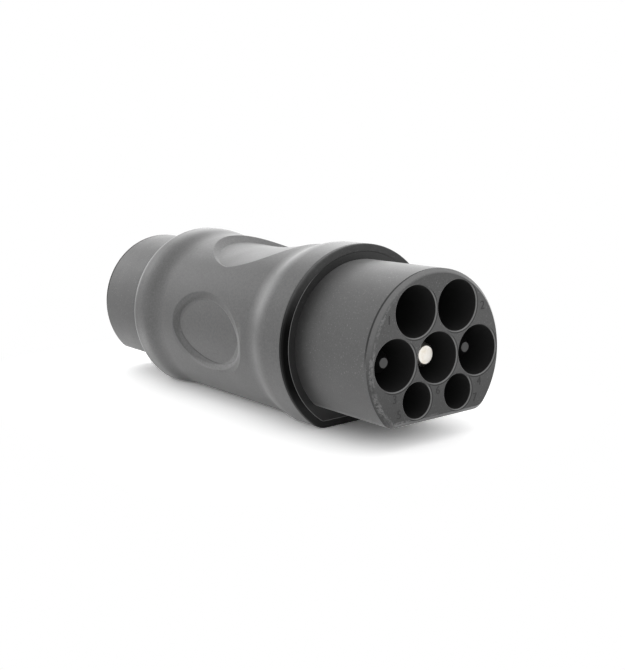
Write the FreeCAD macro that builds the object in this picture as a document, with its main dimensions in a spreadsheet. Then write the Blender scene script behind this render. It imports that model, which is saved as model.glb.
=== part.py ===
import FreeCAD, Part
import math
import os

import Sketcher

# Electric vehicle charging adapter: a grip shell with a seven-cavity plug nose at each end.
# The long axis is X with the front nose at +X, Z is up, and the flat underside lies at Z = 0.
# Every piece is drawn about the adapter's own axis and then lifted by axis_height.

V = FreeCAD.Vector
QUARTER = math.pi / 2
FRONT = 1
REAR = -1

# Driving dimensions in millimetres and degrees.
SIZES = {
    # Whole adapter
    "overall_length": 140.5,
    "front_reach": 29.8,
    "rear_reach": 26.45,
    # Cavities and the webs between them
    "power_cavity_radius": 6.46,
    "signal_cavity_radius": 4.56,
    "power_web": 0.88,
    "signal_web": 0.95,
    "upper_lift": 0.35,
    "cavity_edge": 0.3,
    # D-shaped noses
    "nose_wall": 1.84,
    "nose_sole": 1.46,
    "nose_corner": 4.5,
    "nose_edge": 1.1,
    "spigot_length": 6.0,
    "floor_thickness": 4.0,
    # Flange and trim ring at the front
    "ring_width": 2.0,
    "flange_corner": 2.0,
    "flange_thickness": 3.0,
    "ring_thickness": 1.2,
    "ring_edge": 0.4,
    "seat_clearance": 0.05,
    # Grip shell
    "shell_wall": 2.6,
    "crest_rise": 1.4,
    "crest_width": 3.0,
    "rear_round": 3.8,
    "rear_slope": 11.5,
    "flare_rise": 1.5,
    "flare_slope": 10.0,
    "flare_width": 7.8,
    "flat_depth": 4.2,
    "flat_edge": 6.0,
    # Thumb dimple
    "dimple_depth": 2.5,
    "dimple_crown": 35.0,
    "dimple_sweep": 150.0,
    "dimple_sweep_angle": 30.0,
    "dimple_low": -8.0,
    "dimple_centre": 1.7,
    "dimple_half_width": 17.4,
    "dimple_apex_depth": 14.6,
    "dimple_cone_depth": 10.7,
    "dimple_length_slope": 1.62,
    "dimple_width_slope": 2.045,
    # Oval recess
    "oval_centre": -0.3,
    "oval_half_length": 16.2,
    "oval_half_height": 9.0,
    "oval_tilt": 7.0,
    "oval_depth": 1.0,
    "oval_bevel_width": 2.4,
    "oval_bevel_depth": 0.9,
    # How far cutting shapes reach past the faces that they cut
    "cut_past": 5.0,
    # Inner barrel
    "barrel_wall": 1.4,
    # Sealing rings
    "seal_radius": 0.65,
    "seal_groove_play": 0.4,
    # Power contacts
    "power_pin_radius": 3.0,
    "power_collar_radius": 4.4,
    "power_crimp_length": 7.0,
    "power_tip_depth": 4.4,
    "pe_tip_edge": 0.7,
    "cap_length": 3.6,
    "cap_flat_radius": 1.25,
    "cap_stem_radius": 1.1,
    "cap_stem_length": 3.0,
    # Signal contacts
    "signal_pin_radius": 1.5,
    "signal_collar_radius": 2.6,
    "signal_crimp_length": 5.0,
    "signal_tip_depth": 12.0,
    "signal_tip_edge": 0.5,
    # Both kinds of contact
    "shank_step": 0.25,
    "collar_thickness": 1.6,
    "pin_clearance": 0.05,
    "crimp_depth": 5.0,
    # Retainer plates and their screws
    "retainer_edge": 0.6,
    "retainer_thickness": 4.0,
    "retainer_clearance": 0.1,
    "screw_radius": 1.2,
    "screw_head_radius": 2.2,
    "screw_head_height": 1.5,
    "screw_grip": 3.2,
    "screw_slot_width": 0.7,
    "screw_slot_depth": 0.7,
    "screw_side": 12.2,
    "screw_head_margin": 0.9,
    "screw_sole": 0.7,
    # Leads
    "power_lead_radius": 2.6,
    "power_wire_radius": 2.0,
    "power_lead_rise": 4.0,
    "signal_lead_radius": 1.1,
    "signal_wire_radius": 0.8,
    "signal_lead_rise": 1.5,
    "lead_straight": 4.0,
    # Coding board
    "board_length": 30.0,
    "board_thickness": 1.6,
    "board_side_margin": 0.5,
    "board_drop_margin": 1.16,
    "ledge_width": 1.7,
    "resistor_length": 6.3,
    "resistor_width": 3.2,
    "resistor_height": 1.2,
    "resistor_gap": 4.0,
    "terminal_size": 3.2,
    "terminal_height": 2.4,
    "terminal_inset": 4.0,
}


class Size:
    """A length together with the sheet expression that gives it."""

    def __init__(self, value, text):
        self.value = value
        self.text = text

    def __add__(self, other):
        other = as_size(other)
        return Size(self.value + other.value, "(%s + %s)" % (self.text, other.text))

    def __sub__(self, other):
        other = as_size(other)
        return Size(self.value - other.value, "(%s - %s)" % (self.text, other.text))

    def __mul__(self, other):
        other = as_size(other)
        return Size(self.value * other.value, "(%s * %s)" % (self.text, other.text))

    def __truediv__(self, other):
        other = as_size(other)
        return Size(self.value / other.value, "(%s / %s)" % (self.text, other.text))

    def __neg__(self):
        return Size(-self.value, "(0 - %s)" % self.text)


def as_size(number):
    """Wraps a plain number, and leaves a Size as it is."""
    if isinstance(number, Size):
        return number
    return Size(float(number), "%g" % number)


def size(name):
    """The driving dimension of that name."""
    return Size(SIZES[name], "Sizes.%s" % name)


def leg(long_side, other_leg):
    """One leg of a right triangle, from its longest side and its other leg."""
    length = math.sqrt(long_side.value ** 2 - other_leg.value ** 2)
    return Size(length, "sqrt(%s ^ 2 - %s ^ 2)" % (long_side.text, other_leg.text))


def fill_sheet(doc):
    """Puts every driving dimension in the sheet, with its name beside it."""
    sheet = doc.addObject("Spreadsheet::Sheet", "Sizes")
    for row, (name, number) in enumerate(SIZES.items(), start=1):
        sheet.set("A%d" % row, name)
        sheet.set("B%d" % row, "%g" % number)
        sheet.setAlias("B%d" % row, name)
    doc.recompute()
    return sheet


def bind(thing, prop, length):
    """Sets a property to a length and ties it to the sheet."""
    length = as_size(length)
    setattr(thing, prop, length.value)
    thing.setExpression(prop, length.text)


def place(thing, along=0.0, side=0.0, height=0.0, end=FRONT):
    """Places a piece on the adapter's axis; the rear end's pieces are turned half round Z."""
    turn = 0 if end == FRONT else 180
    height = axis_height() + height
    along, side = as_size(along), as_size(side)
    base = V(along.value, side.value, height.value)
    thing.Placement = FreeCAD.Placement(base, FreeCAD.Rotation(V(0, 0, 1), turn))
    thing.setExpression("Placement.Base.x", along.text)
    thing.setExpression("Placement.Base.y", side.text)
    thing.setExpression("Placement.Base.z", height.text)


# Sketch helpers


def new_body(doc, label):
    """An empty body that carries the node's name."""
    body = doc.addObject("PartDesign::Body", label)
    body.Label = label
    return body


def new_sketch(body, name, role, offset=0.0):
    """A sketch on one of the body's origin planes, moved along the plane's normal."""
    offset = as_size(offset)
    sketch = body.newObject("Sketcher::SketchObject", name)
    plane = next(item for item in body.Origin.OriginFeatures if item.Role == role)
    sketch.AttachmentSupport = [(plane, "")]
    sketch.MapMode = "FlatFace"
    sketch.AttachmentOffset = FreeCAD.Placement(V(0, 0, offset.value), FreeCAD.Rotation())
    sketch.setExpression("AttachmentOffset.Base.z", offset.text)
    return sketch


def apply_rules(sketch, rules):
    """Adds constraints together; a Size as a rule's last part is tied to the sheet."""
    made = []
    for kind, *parts in rules:
        numbers = [part.value if isinstance(part, Size) else part for part in parts]
        if kind == "Angle":
            numbers[-1] = math.radians(numbers[-1])
        made.append(Sketcher.Constraint(kind, *numbers))
    for index, rule in zip(sketch.addConstraint(made), rules):
        if isinstance(rule[-1], Size):
            sketch.renameConstraint(index, "c%d" % index)
            sketch.setExpression("Constraints.c%d" % index, rule[-1].text)


def pin_rules(geometry, point, x, y):
    """Rules that fix a point at (x, y) from the sketch's origin."""
    rules = []
    for kind, length, axis in (("DistanceX", as_size(x), -2), ("DistanceY", as_size(y), -1)):
        if abs(length.value) < 1e-9:
            rules.append(("PointOnObject", geometry, point, axis))
        elif length.value > 0:
            rules.append((kind, -1, 1, geometry, point, length))
        else:
            rules.append((kind, geometry, point, -1, 1, -length))
    return rules


def spot(x, y):
    """A point of the sketch from two lengths."""
    return V(as_size(x).value, as_size(y).value, 0)


def add_line(sketch, x1, y1, x2, y2):
    """A straight line between two points given by lengths."""
    return sketch.addGeometry(Part.LineSegment(spot(x1, y1), spot(x2, y2)), False)


def add_arc(sketch, x, y, radius, start, stop):
    """An arc about (x, y) that runs anticlockwise from angle start to angle stop."""
    circle = Part.Circle(spot(x, y), V(0, 0, 1), as_size(radius).value)
    return sketch.addGeometry(Part.ArcOfCircle(circle, start, stop), False)


def draw_circle(sketch, radius, x=0.0, y=0.0):
    """A full circle with its centre at (x, y)."""
    circle = Part.Circle(spot(x, y), V(0, 0, 1), radius.value)
    index = sketch.addGeometry(circle, False)
    apply_rules(sketch, [("Radius", index, radius)] + pin_rules(index, 3, x, y))


def draw_polygon(sketch, points):
    """A closed chain of straight lines through the points."""
    sides = []
    for (x1, y1), (x2, y2) in zip(points, points[1:] + points[:1]):
        sides.append(add_line(sketch, x1, y1, x2, y2))
    rules = []
    for side, following, (x, y) in zip(sides, sides[1:] + sides[:1], points):
        rules.append(("Coincident", side, 2, following, 1))
        rules += pin_rules(side, 1, x, y)
    apply_rules(sketch, rules)


def draw_rectangle(sketch, left, bottom, right, top):
    """A rectangle given by its four sides."""
    draw_polygon(sketch, [(left, bottom), (right, bottom), (right, top), (left, top)])


def draw_d(sketch, radius, flat, corner):
    """A circle with a flat below its centre and two rounded corners."""
    depth = flat.value - corner.value
    reach = math.sqrt((radius.value - corner.value) ** 2 - depth ** 2)
    join = math.atan2(-depth, reach)
    crown = add_arc(sketch, 0.0, 0.0, radius, join, math.pi - join)
    left = add_arc(sketch, -reach, -depth, corner, math.pi - join, 3 * QUARTER)
    base = add_line(sketch, -reach, -flat, reach, -flat)
    right = add_arc(sketch, reach, -depth, corner, -QUARTER, join)
    rules = [
        ("Coincident", crown, 3, -1, 1),
        ("Radius", crown, radius),
        ("Radius", right, corner),
        ("Equal", left, right),
        ("Tangent", crown, 2, left, 1),
        ("Tangent", left, 2, base, 1),
        ("Tangent", base, 2, right, 1),
        ("Tangent", right, 2, crown, 1),
        ("Horizontal", base),
        ("DistanceY", base, 1, -1, 1, flat),
    ]
    apply_rules(sketch, rules)


# Feature helpers


def feature(body, kind, name, sketch):
    """A sketch-based feature that becomes the tip of its body."""
    item = body.newObject("PartDesign::%s" % kind, name)
    item.Profile = sketch
    body.Tip = item
    return item


def pad(body, name, sketch, length, reverse=False, both_ways=False):
    item = feature(body, "Pad", name, sketch)
    bind(item, "Length", length)
    item.Reversed = reverse
    if both_ways:
        item.SideType = "Symmetric"


def pocket(body, name, sketch, length, reverse=False, both_ways=False):
    item = feature(body, "Pocket", name, sketch)
    bind(item, "Length", length)
    item.Reversed = reverse
    if both_ways:
        item.SideType = "Symmetric"


def revolve(body, name, sketch):
    item = feature(body, "Revolution", name, sketch)
    item.ReferenceAxis = (sketch, ["H_Axis"])
    item.Angle = 360.0


def all_at(edge, axis, where):
    """Whether the whole edge lies at one place along an axis."""
    return all(abs(getattr(point, axis) - where) < 1e-6 for point in edge.discretize(5))


def dress(body, kind, name, test, length):
    """A fillet or chamfer on the edges of the body that pass the test."""
    body.Document.recompute()
    base = body.Tip
    names = ["Edge%d" % number for number, edge in enumerate(base.Shape.Edges, start=1) if test(edge)]
    item = body.newObject("PartDesign::%s" % kind, name)
    item.Base = (base, names)
    bind(item, "Radius" if kind == "Fillet" else "Size", length)
    body.Tip = item


# Sizes and places that follow from the driving ones


def power_pitch():
    """Distance between the axes of two neighbouring power cavities."""
    return size("power_cavity_radius") * 2 + size("power_web")


def upper_rise():
    """Height of the two upper cavities, a little above the corners of equal triangles."""
    return leg(power_pitch(), power_pitch() / 2) + size("upper_lift")


def signal_drop():
    """Depth of the signal cavities below the axis, one web away from the middle power cavity."""
    reach = size("power_cavity_radius") + size("signal_cavity_radius") + size("signal_web")
    return leg(reach, power_pitch() / 2)


def nose_radius():
    return power_pitch() + size("power_cavity_radius") + size("nose_wall")


def nose_flat():
    """Depth of a nose's flat below the axis."""
    return signal_drop() + size("signal_cavity_radius") + size("nose_sole")


def shank_radius(kind):
    """Radius of a contact behind the cavity's floor."""
    return size(kind + "_pin_radius") + size("shank_step")


def retainer_radius():
    """A retainer reaches past the holes for the outer contacts."""
    return power_pitch() + shank_radius("power") + size("pin_clearance") + size("retainer_edge")


def barrel_bore():
    return retainer_radius() + size("retainer_clearance")


def barrel_radius():
    return barrel_bore() + size("barrel_wall")


def waist_radius():
    return nose_radius() + size("shell_wall")


def crest_radius():
    return waist_radius() + size("crest_rise")


def flare_radius():
    return waist_radius() + size("flare_rise")


def axis_height():
    """Height of the adapter's axis above its flat underside."""
    return flare_radius() - size("flat_depth")


def flange_radius():
    return flare_radius() - size("ring_width")


def flange_flat():
    return axis_height() - size("ring_width")


def dimple_floor():
    """Lowest height of the thumb dimple above the axis."""
    return waist_radius() - size("dimple_depth")


def nose_total(end):
    """Length of a nose from its inner face to its front face."""
    if end == FRONT:
        return size("front_reach") + size("flange_thickness") + size("spigot_length")
    return size("rear_reach") + size("spigot_length")


def nose_seat(end):
    """Place along X of a nose's inner face."""
    along = size("overall_length") / 2 - nose_total(end)
    return along if end == FRONT else -along


def shell_front():
    """Place along X of the shell's front end."""
    return size("overall_length") / 2 - size("front_reach") - size("ring_thickness")


def shell_rear():
    """Place along X of the shell's rear end."""
    return size("rear_reach") - size("overall_length") / 2


def contact_places():
    """Side and height of each contact, by the name of its line."""
    return {
        "pe": (as_size(0.0), as_size(0.0)),
        "l1": (power_pitch(), as_size(0.0)),
        "n": (-power_pitch(), as_size(0.0)),
        "cp": (-(power_pitch() / 2), -signal_drop()),
        "proximity": (power_pitch() / 2, -signal_drop()),
    }


def power_places():
    return [contact_places()[line] for line in ("pe", "l1", "n")]


def signal_places():
    return [contact_places()[line] for line in ("cp", "proximity")]


def empty_places():
    """The two upper cavities, which hold no contact."""
    side = power_pitch() / 2
    return [(-side, upper_rise()), (side, upper_rise())]


def screw_places():
    """Two screws near the retainer's rim and one between the signal contacts and the flat."""
    side = size("screw_side")
    rise = leg(retainer_radius() - size("screw_head_radius") - size("screw_head_margin"), side)
    drop = nose_flat() - size("seal_radius") * 2 - size("screw_radius") - size("screw_sole")
    return [(-side, rise), (side, rise), (as_size(0.0), -drop)]


# Noses


def make_nose(doc, label, end):
    """A D-shaped nose with seven cavities, drawn with its inner face at x = 0 and its front at +x."""
    total = nose_total(end)
    body = new_body(doc, label)
    outline = new_sketch(body, label + "_outline", "YZ_Plane")
    draw_d(outline, nose_radius(), nose_flat(), size("nose_corner"))
    pad(body, label + "_block", outline, total)
    dress(body, "Chamfer", label + "_edge", lambda edge: all_at(edge, "x", total.value), size("nose_edge"))
    if end == FRONT:
        rim = new_sketch(body, label + "_rim", "YZ_Plane", size("spigot_length"))
        draw_d(rim, flange_radius(), flange_flat(), size("flange_corner"))
        pad(body, label + "_flange", rim, size("flange_thickness"))
    cut_cavities(body, label, total)
    cut_contact_holes(body, label)
    cut_seal_groove(body, label)
    place(body, along=nose_seat(end), end=end)
    return body


def cut_cavities(body, label, total):
    """The seven blind cavities, from the front face down to the floor, with a small edge each."""
    mouths = new_sketch(body, label + "_cavities", "YZ_Plane", total)
    for side, height in power_places() + empty_places():
        draw_circle(mouths, size("power_cavity_radius"), side, height)
    for side, height in signal_places():
        draw_circle(mouths, size("signal_cavity_radius"), side, height)
    pocket(body, label + "_cavity_pocket", mouths, total - size("floor_thickness"))

    def on_mouth(edge):
        full_circle = isinstance(edge.Curve, Part.Circle) and edge.isClosed()
        return full_circle and all_at(edge, "x", total.value)

    dress(body, "Chamfer", label + "_mouths", on_mouth, size("cavity_edge"))


def cut_contact_holes(body, label):
    """Holes for the contacts through the floor, recesses for their collars and screw pilots.

    The two upper cavities have the same holes, which the retainer closes from behind.
    """
    play = size("pin_clearance")
    holes = new_sketch(body, label + "_holes", "YZ_Plane")
    for side, height in power_places() + empty_places():
        draw_circle(holes, shank_radius("power") + play, side, height)
    for side, height in signal_places():
        draw_circle(holes, shank_radius("signal") + play, side, height)
    pocket(body, label + "_hole_pocket", holes, size("floor_thickness"), reverse=True)
    seats = new_sketch(body, label + "_collar_seats", "YZ_Plane")
    for side, height in power_places():
        draw_circle(seats, size("power_collar_radius") + play, side, height)
    for side, height in signal_places():
        draw_circle(seats, size("signal_collar_radius") + play, side, height)
    pocket(body, label + "_seat_pocket", seats, size("collar_thickness"), reverse=True)
    pilots = new_sketch(body, label + "_pilots", "YZ_Plane")
    for side, height in screw_places():
        draw_circle(pilots, size("screw_radius"), side, height)
    pocket(body, label + "_pilot_pocket", pilots, size("screw_grip"), reverse=True)


def groove_width():
    return size("seal_radius") * 2 + size("seal_groove_play")


def cut_seal_groove(body, label):
    """A groove round the spigot for the sealing ring."""
    depth = size("seal_radius") * 2
    start = (size("spigot_length") + groove_width()) / 2
    band = new_sketch(body, label + "_groove", "YZ_Plane", start)
    draw_circle(band, nose_radius() + size("cut_past"))
    draw_d(band, nose_radius() - depth, nose_flat() - depth, size("nose_corner") - depth)
    pocket(body, label + "_groove_pocket", band, groove_width())


def make_seal(doc, label, end):
    """A sealing ring whose centre line is the D of the nose, one ring radius inside it."""
    inset = size("seal_radius")
    body = new_body(doc, label)
    path = new_sketch(body, label + "_path", "YZ_Plane", size("spigot_length") / 2)
    draw_d(path, nose_radius() - inset, nose_flat() - inset, size("nose_corner") - inset)
    section = new_sketch(body, label + "_section", "XZ_Plane")
    middle = size("spigot_length") / 2
    draw_circle(section, size("seal_radius"), middle, inset - nose_flat())
    doc.recompute()
    ring = feature(body, "AdditivePipe", label + "_ring", section)
    ring.Spine = (path, ["Edge%d" % number for number in range(1, 5)])
    ring.Mode = "Frenet"
    place(body, along=nose_seat(end), end=end)
    return body


# Contacts


def make_contact(doc, label, end, line, kind, tip):
    """A turned contact: crimp barrel, collar, shank and pin, drawn with its collar's back at x = 0."""
    side, height = contact_places()[line]
    radius, shank, collar = size(kind + "_pin_radius"), shank_radius(kind), size(kind + "_collar_radius")
    wire = size(kind + "_wire_radius") + size("pin_clearance")
    back = -(size("retainer_thickness") + size(kind + "_crimp_length"))
    front = nose_total(end) - size(kind + "_tip_depth")
    if tip == "capped":
        front = front - size("cap_length")
    body = new_body(doc, label)
    half = new_sketch(body, label + "_half", "XY_Plane")
    outline = [
        (back, wire),
        (back, shank),
        (0.0, shank),
        (0.0, collar),
        (size("collar_thickness"), collar),
        (size("collar_thickness"), shank),
        (size("floor_thickness"), shank),
        (size("floor_thickness"), radius),
    ]
    if tip == "capped":
        stem = size("cap_stem_radius")
        root = front - size("cap_stem_length")
        outline += [(front, radius), (front, stem), (root, stem), (root, 0.0)]
    else:
        edge = size("pe_tip_edge") if tip == "bare" else size("signal_tip_edge")
        outline += [(front - edge, radius), (front, radius - edge), (front, 0.0)]
    outline += [(back + size("crimp_depth"), 0.0), (back + size("crimp_depth"), wire)]
    draw_polygon(half, outline)
    revolve(body, label + "_turned", half)
    place(body, nose_seat(end), side, height, end)
    return body


def make_cap(doc, label, end, line):
    """An insulating tip: a tapered nose on a stem that sits in the end of its pin."""
    side, height = contact_places()[line]
    front = nose_total(end) - size("power_tip_depth")
    base = front - size("cap_length")
    body = new_body(doc, label)
    half = new_sketch(body, label + "_half", "XY_Plane")
    outline = [
        (base - size("cap_stem_length"), 0.0),
        (base - size("cap_stem_length"), size("cap_stem_radius")),
        (base, size("cap_stem_radius")),
        (base, size("power_pin_radius")),
        (base + size("cap_length") / 3, size("power_pin_radius")),
        (front, size("cap_flat_radius")),
        (front, 0.0),
    ]
    draw_polygon(half, outline)
    revolve(body, label + "_turned", half)
    place(body, nose_seat(end), side, height, end)
    return body


# Retainers and screws


def make_retainer(doc, label, end):
    """The plate behind a nose that holds the contacts' collars, drawn from x = 0 backwards."""
    play = size("pin_clearance")
    body = new_body(doc, label)
    face = new_sketch(body, label + "_face", "YZ_Plane")
    draw_circle(face, retainer_radius())
    for side, height in power_places():
        draw_circle(face, shank_radius("power") + play, side, height)
    for side, height in signal_places():
        draw_circle(face, shank_radius("signal") + play, side, height)
    for side, height in screw_places():
        draw_circle(face, size("screw_radius") + play, side, height)
    pad(body, label + "_plate", face, size("retainer_thickness"), reverse=True)
    place(body, along=nose_seat(end), end=end)
    return body


def make_screws(doc, label, end):
    """Three slotted pan-head screws that hold a retainer to its nose."""
    screws = []
    for number, (side, height) in enumerate(screw_places(), start=1):
        name = "%s_%d" % (label, number)
        under = -size("retainer_thickness")
        top = under - size("screw_head_height")
        body = new_body(doc, name)
        half = new_sketch(body, name + "_half", "XY_Plane")
        outline = [
            (top, 0.0),
            (top, size("screw_head_radius")),
            (under, size("screw_head_radius")),
            (under, size("screw_radius")),
            (size("screw_grip"), size("screw_radius")),
            (size("screw_grip"), 0.0),
        ]
        draw_polygon(half, outline)
        revolve(body, name + "_turned", half)
        slot = new_sketch(body, name + "_slot", "YZ_Plane", top)
        reach = size("screw_head_radius") + size("cut_past")
        width = size("screw_slot_width") / 2
        draw_rectangle(slot, -reach, -width, reach, width)
        pocket(body, name + "_slot_pocket", slot, size("screw_slot_depth"), reverse=True)
        place(body, nose_seat(end), side, height, end)
        screws.append(body)
    group = doc.addObject("Part::Compound", label)
    group.Label = label
    group.Links = screws
    return group


# Shell, ring and barrel


def make_shell_blank(doc):
    """The shell's outer form turned about the axis, with its flat underside and its bores."""
    body = new_body(doc, "shell_blank")
    half = new_sketch(body, "shell_half", "XY_Plane")
    draw_shell_profile(half)
    revolve(body, "shell_turned", half)
    length = size("overall_length")
    wide = flare_radius() + size("cut_past")
    under = new_sketch(body, "shell_under", "YZ_Plane")
    draw_rectangle(under, -wide, -wide, wide, -axis_height())
    pocket(body, "shell_flat", under, length, both_ways=True)
    floor = -axis_height().value
    rear, front = shell_rear().value, shell_front().value

    def along_flat(edge):
        return all_at(edge, "z", floor) and not all_at(edge, "x", rear) and not all_at(edge, "x", front)

    dress(body, "Fillet", "shell_flat_edges", along_flat, size("flat_edge"))
    dress(body, "Fillet", "shell_rear_rim", lambda edge: all_at(edge, "x", rear), size("rear_round"))
    cut_shell_bores(body)
    place(body)
    return body


def draw_shell_profile(sketch):
    """Half section of the shell: crest, fall to the waist, and climb to the flared front."""
    rear, front = shell_rear(), shell_front()
    crest_end = rear + size("rear_round") + size("crest_width")
    waist_start = crest_end + size("rear_slope")
    flare_start = front - size("flare_width")
    waist_end = flare_start - size("flare_slope")
    crest, waist, flare = crest_radius(), waist_radius(), flare_radius()
    end_face = add_line(sketch, rear, 0.0, rear, crest)
    crown = add_line(sketch, rear, crest, crest_end, crest)
    fall = add_slope(sketch, crest_end, crest, waist_start, waist)
    hand = add_line(sketch, waist_start, waist, waist_end, waist)
    climb = add_slope(sketch, waist_end, waist, flare_start, flare)
    lip = add_line(sketch, flare_start, flare, front, flare)
    front_face = add_line(sketch, front, flare, front, 0.0)
    axis = add_line(sketch, front, 0.0, rear, 0.0)
    rules = [
        ("Vertical", end_face),
        ("Coincident", end_face, 2, crown, 1),
        ("Tangent", crown, 2, fall[0], 2),
        ("Tangent", fall[0], 1, fall[1], 1),
        ("Tangent", fall[1], 2, hand, 1),
        ("Tangent", hand, 2, climb[0], 1),
        ("Tangent", climb[0], 2, climb[1], 2),
        ("Tangent", climb[1], 1, lip, 1),
        ("Coincident", lip, 2, front_face, 1),
        ("Coincident", front_face, 2, axis, 1),
        ("Coincident", axis, 2, end_face, 1),
        ("Horizontal", crown),
        ("Horizontal", hand),
        ("Horizontal", lip),
        ("Equal", fall[0], fall[1]),
        ("Equal", climb[0], climb[1]),
        ("DistanceX", -1, 1, hand, 2, waist_end),
    ]
    rules += pin_rules(axis, 1, front, 0.0)
    rules += pin_rules(axis, 2, rear, 0.0)
    rules += pin_rules(crown, 2, crest_end, crest)
    rules += pin_rules(hand, 1, waist_start, waist)
    rules += pin_rules(lip, 1, flare_start, flare)
    rules.append(("Vertical", front_face))
    apply_rules(sketch, rules)


def add_slope(sketch, x1, y1, x2, y2):
    """Two equal arcs that join two level lines without a corner."""
    run, rise = (x2 - x1).value, (y2 - y1).value
    radius = (run ** 2 + rise ** 2) / (4 * abs(rise))
    turn = math.asin(run / 2 / radius)
    if rise > 0:
        first = add_arc(sketch, x1, y1 + radius, radius, -QUARTER, -QUARTER + turn)
        second = add_arc(sketch, x2, y2 - radius, radius, QUARTER, QUARTER + turn)
    else:
        first = add_arc(sketch, x1, y1 - radius, radius, QUARTER - turn, QUARTER)
        second = add_arc(sketch, x2, y2 + radius, radius, -QUARTER - turn, -QUARTER)
    return first, second


def cut_shell_bores(body):
    """The bore for the barrel, and the seats for the noses' spigots and the flange."""
    play = size("seat_clearance")
    length = size("overall_length")
    bore = new_sketch(body, "shell_bore", "YZ_Plane")
    draw_circle(bore, barrel_radius())
    pocket(body, "shell_bore_pocket", bore, length, both_ways=True)
    front = new_sketch(body, "shell_front_seat", "YZ_Plane", shell_front())
    draw_d(front, nose_radius() + play, nose_flat() + play, size("nose_corner") + play)
    pocket(body, "shell_front_pocket", front, shell_front() - nose_seat(FRONT))
    flange = new_sketch(body, "shell_flange_seat", "YZ_Plane", shell_front())
    draw_d(flange, flange_radius() + play, flange_flat() + play, size("flange_corner") + play)
    depth = size("flange_thickness") - size("ring_thickness")
    pocket(body, "shell_flange_pocket", flange, depth)
    rear = new_sketch(body, "shell_rear_seat", "YZ_Plane", shell_rear())
    draw_d(rear, nose_radius() + play, nose_flat() + play, size("nose_corner") + play)
    pocket(body, "shell_rear_pocket", rear, size("spigot_length"), reverse=True)


def make_ring(doc):
    """The black ring on the shell's front end, round the flange of the nose."""
    play = size("seat_clearance")
    body = new_body(doc, "front_trim_ring")
    face = new_sketch(body, "ring_face", "YZ_Plane", shell_front())
    draw_d(face, flare_radius(), axis_height(), size("flat_edge"))
    front = shell_front() + size("ring_thickness")
    pad(body, "ring_plate", face, size("ring_thickness"))
    dress(body, "Fillet", "ring_edge_round", lambda edge: all_at(edge, "x", front.value), size("ring_edge"))
    opening = new_sketch(body, "ring_opening", "YZ_Plane", front)
    draw_d(opening, flange_radius() + play, flange_flat() + play, size("flange_corner") + play)
    pocket(body, "ring_opening_pocket", opening, size("ring_thickness"))
    place(body)
    return body


def make_barrel(doc):
    """The hard tube between the noses, with two ledges for the coding board."""
    body = new_body(doc, "inner_barrel")
    section = new_sketch(body, "barrel_section", "YZ_Plane", nose_seat(REAR))
    draw_circle(section, barrel_radius())
    draw_circle(section, barrel_bore())
    pad(body, "barrel_tube", section, nose_seat(FRONT) - nose_seat(REAR))
    start = -(size("board_length") / 2)
    ledges = new_sketch(body, "barrel_ledges", "YZ_Plane", start)
    outer = board_width() / 2
    inner = outer - size("ledge_width")
    foot = -leg(barrel_bore() + size("barrel_wall") / 2, outer - size("ledge_width") / 2)
    for left, right in ((-outer, -inner), (inner, outer)):
        draw_rectangle(ledges, left, foot, right, board_height())
    pad(body, "barrel_ledge_pad", ledges, size("board_length"))
    place(body)
    return body


# Leads and coding board


def draw_bow(sketch, start, stop, straight, rise):
    """A level start, a bow of three arcs and a level end, from x = start down to x = stop.

    Gives the number of edges in the path.
    """
    run = (start - stop - straight * 2).value
    turn = 2 * math.atan2(rise.value, run / 2)
    radius = run / (4 * math.sin(turn))
    near, far = start - straight, stop + straight
    middle = (near + far) / 2
    first = add_line(sketch, start, 0.0, near, 0.0)
    climb = add_arc(sketch, near, radius, radius, -QUARTER - turn, -QUARTER)
    crown = add_arc(sketch, middle, rise - radius, radius, QUARTER - turn, QUARTER + turn)
    fall = add_arc(sketch, far, radius, radius, -QUARTER, -QUARTER + turn)
    last = add_line(sketch, far, 0.0, stop, 0.0)
    rules = [
        ("Tangent", first, 2, climb, 2),
        ("Tangent", climb, 1, crown, 1),
        ("Tangent", crown, 2, fall, 2),
        ("Tangent", fall, 1, last, 1),
        ("Horizontal", first),
        ("Equal", climb, crown),
        ("Equal", crown, fall),
        ("Distance", first, straight),
        ("DistanceY", climb, 2, climb, 1, rise / 2),
    ]
    rules += pin_rules(first, 1, start, 0.0)
    rules += pin_rules(last, 2, stop, 0.0)
    apply_rules(sketch, rules)
    return 5


def draw_step(sketch, start, stop, straight, drop):
    """A level start, a step down of two arcs and a level end, from x = start down to x = stop.

    Gives the number of edges in the path.
    """
    run = (start - stop - straight * 2).value
    turn = 2 * math.atan2(drop.value, run)
    radius = run / (2 * math.sin(turn))
    near, far = start - straight, stop + straight
    first = add_line(sketch, start, 0.0, near, 0.0)
    upper = add_arc(sketch, near, -radius, radius, QUARTER, QUARTER + turn)
    lower = add_arc(sketch, far, -drop + radius, radius, -QUARTER, -QUARTER + turn)
    last = add_line(sketch, far, -drop, stop, -drop)
    rules = [
        ("Tangent", first, 2, upper, 1),
        ("Tangent", upper, 2, lower, 2),
        ("Tangent", lower, 1, last, 1),
        ("Horizontal", first),
        ("Horizontal", last),
        ("Equal", upper, lower),
        ("Distance", first, straight),
    ]
    rules += pin_rules(first, 1, start, 0.0)
    rules += pin_rules(last, 2, stop, -drop)
    apply_rules(sketch, rules)
    return 4


def crimp_back(kind):
    """Place of a crimp barrel's open end, in its nose's own frame."""
    return -(size("retainer_thickness") + size(kind + "_crimp_length"))


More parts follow.
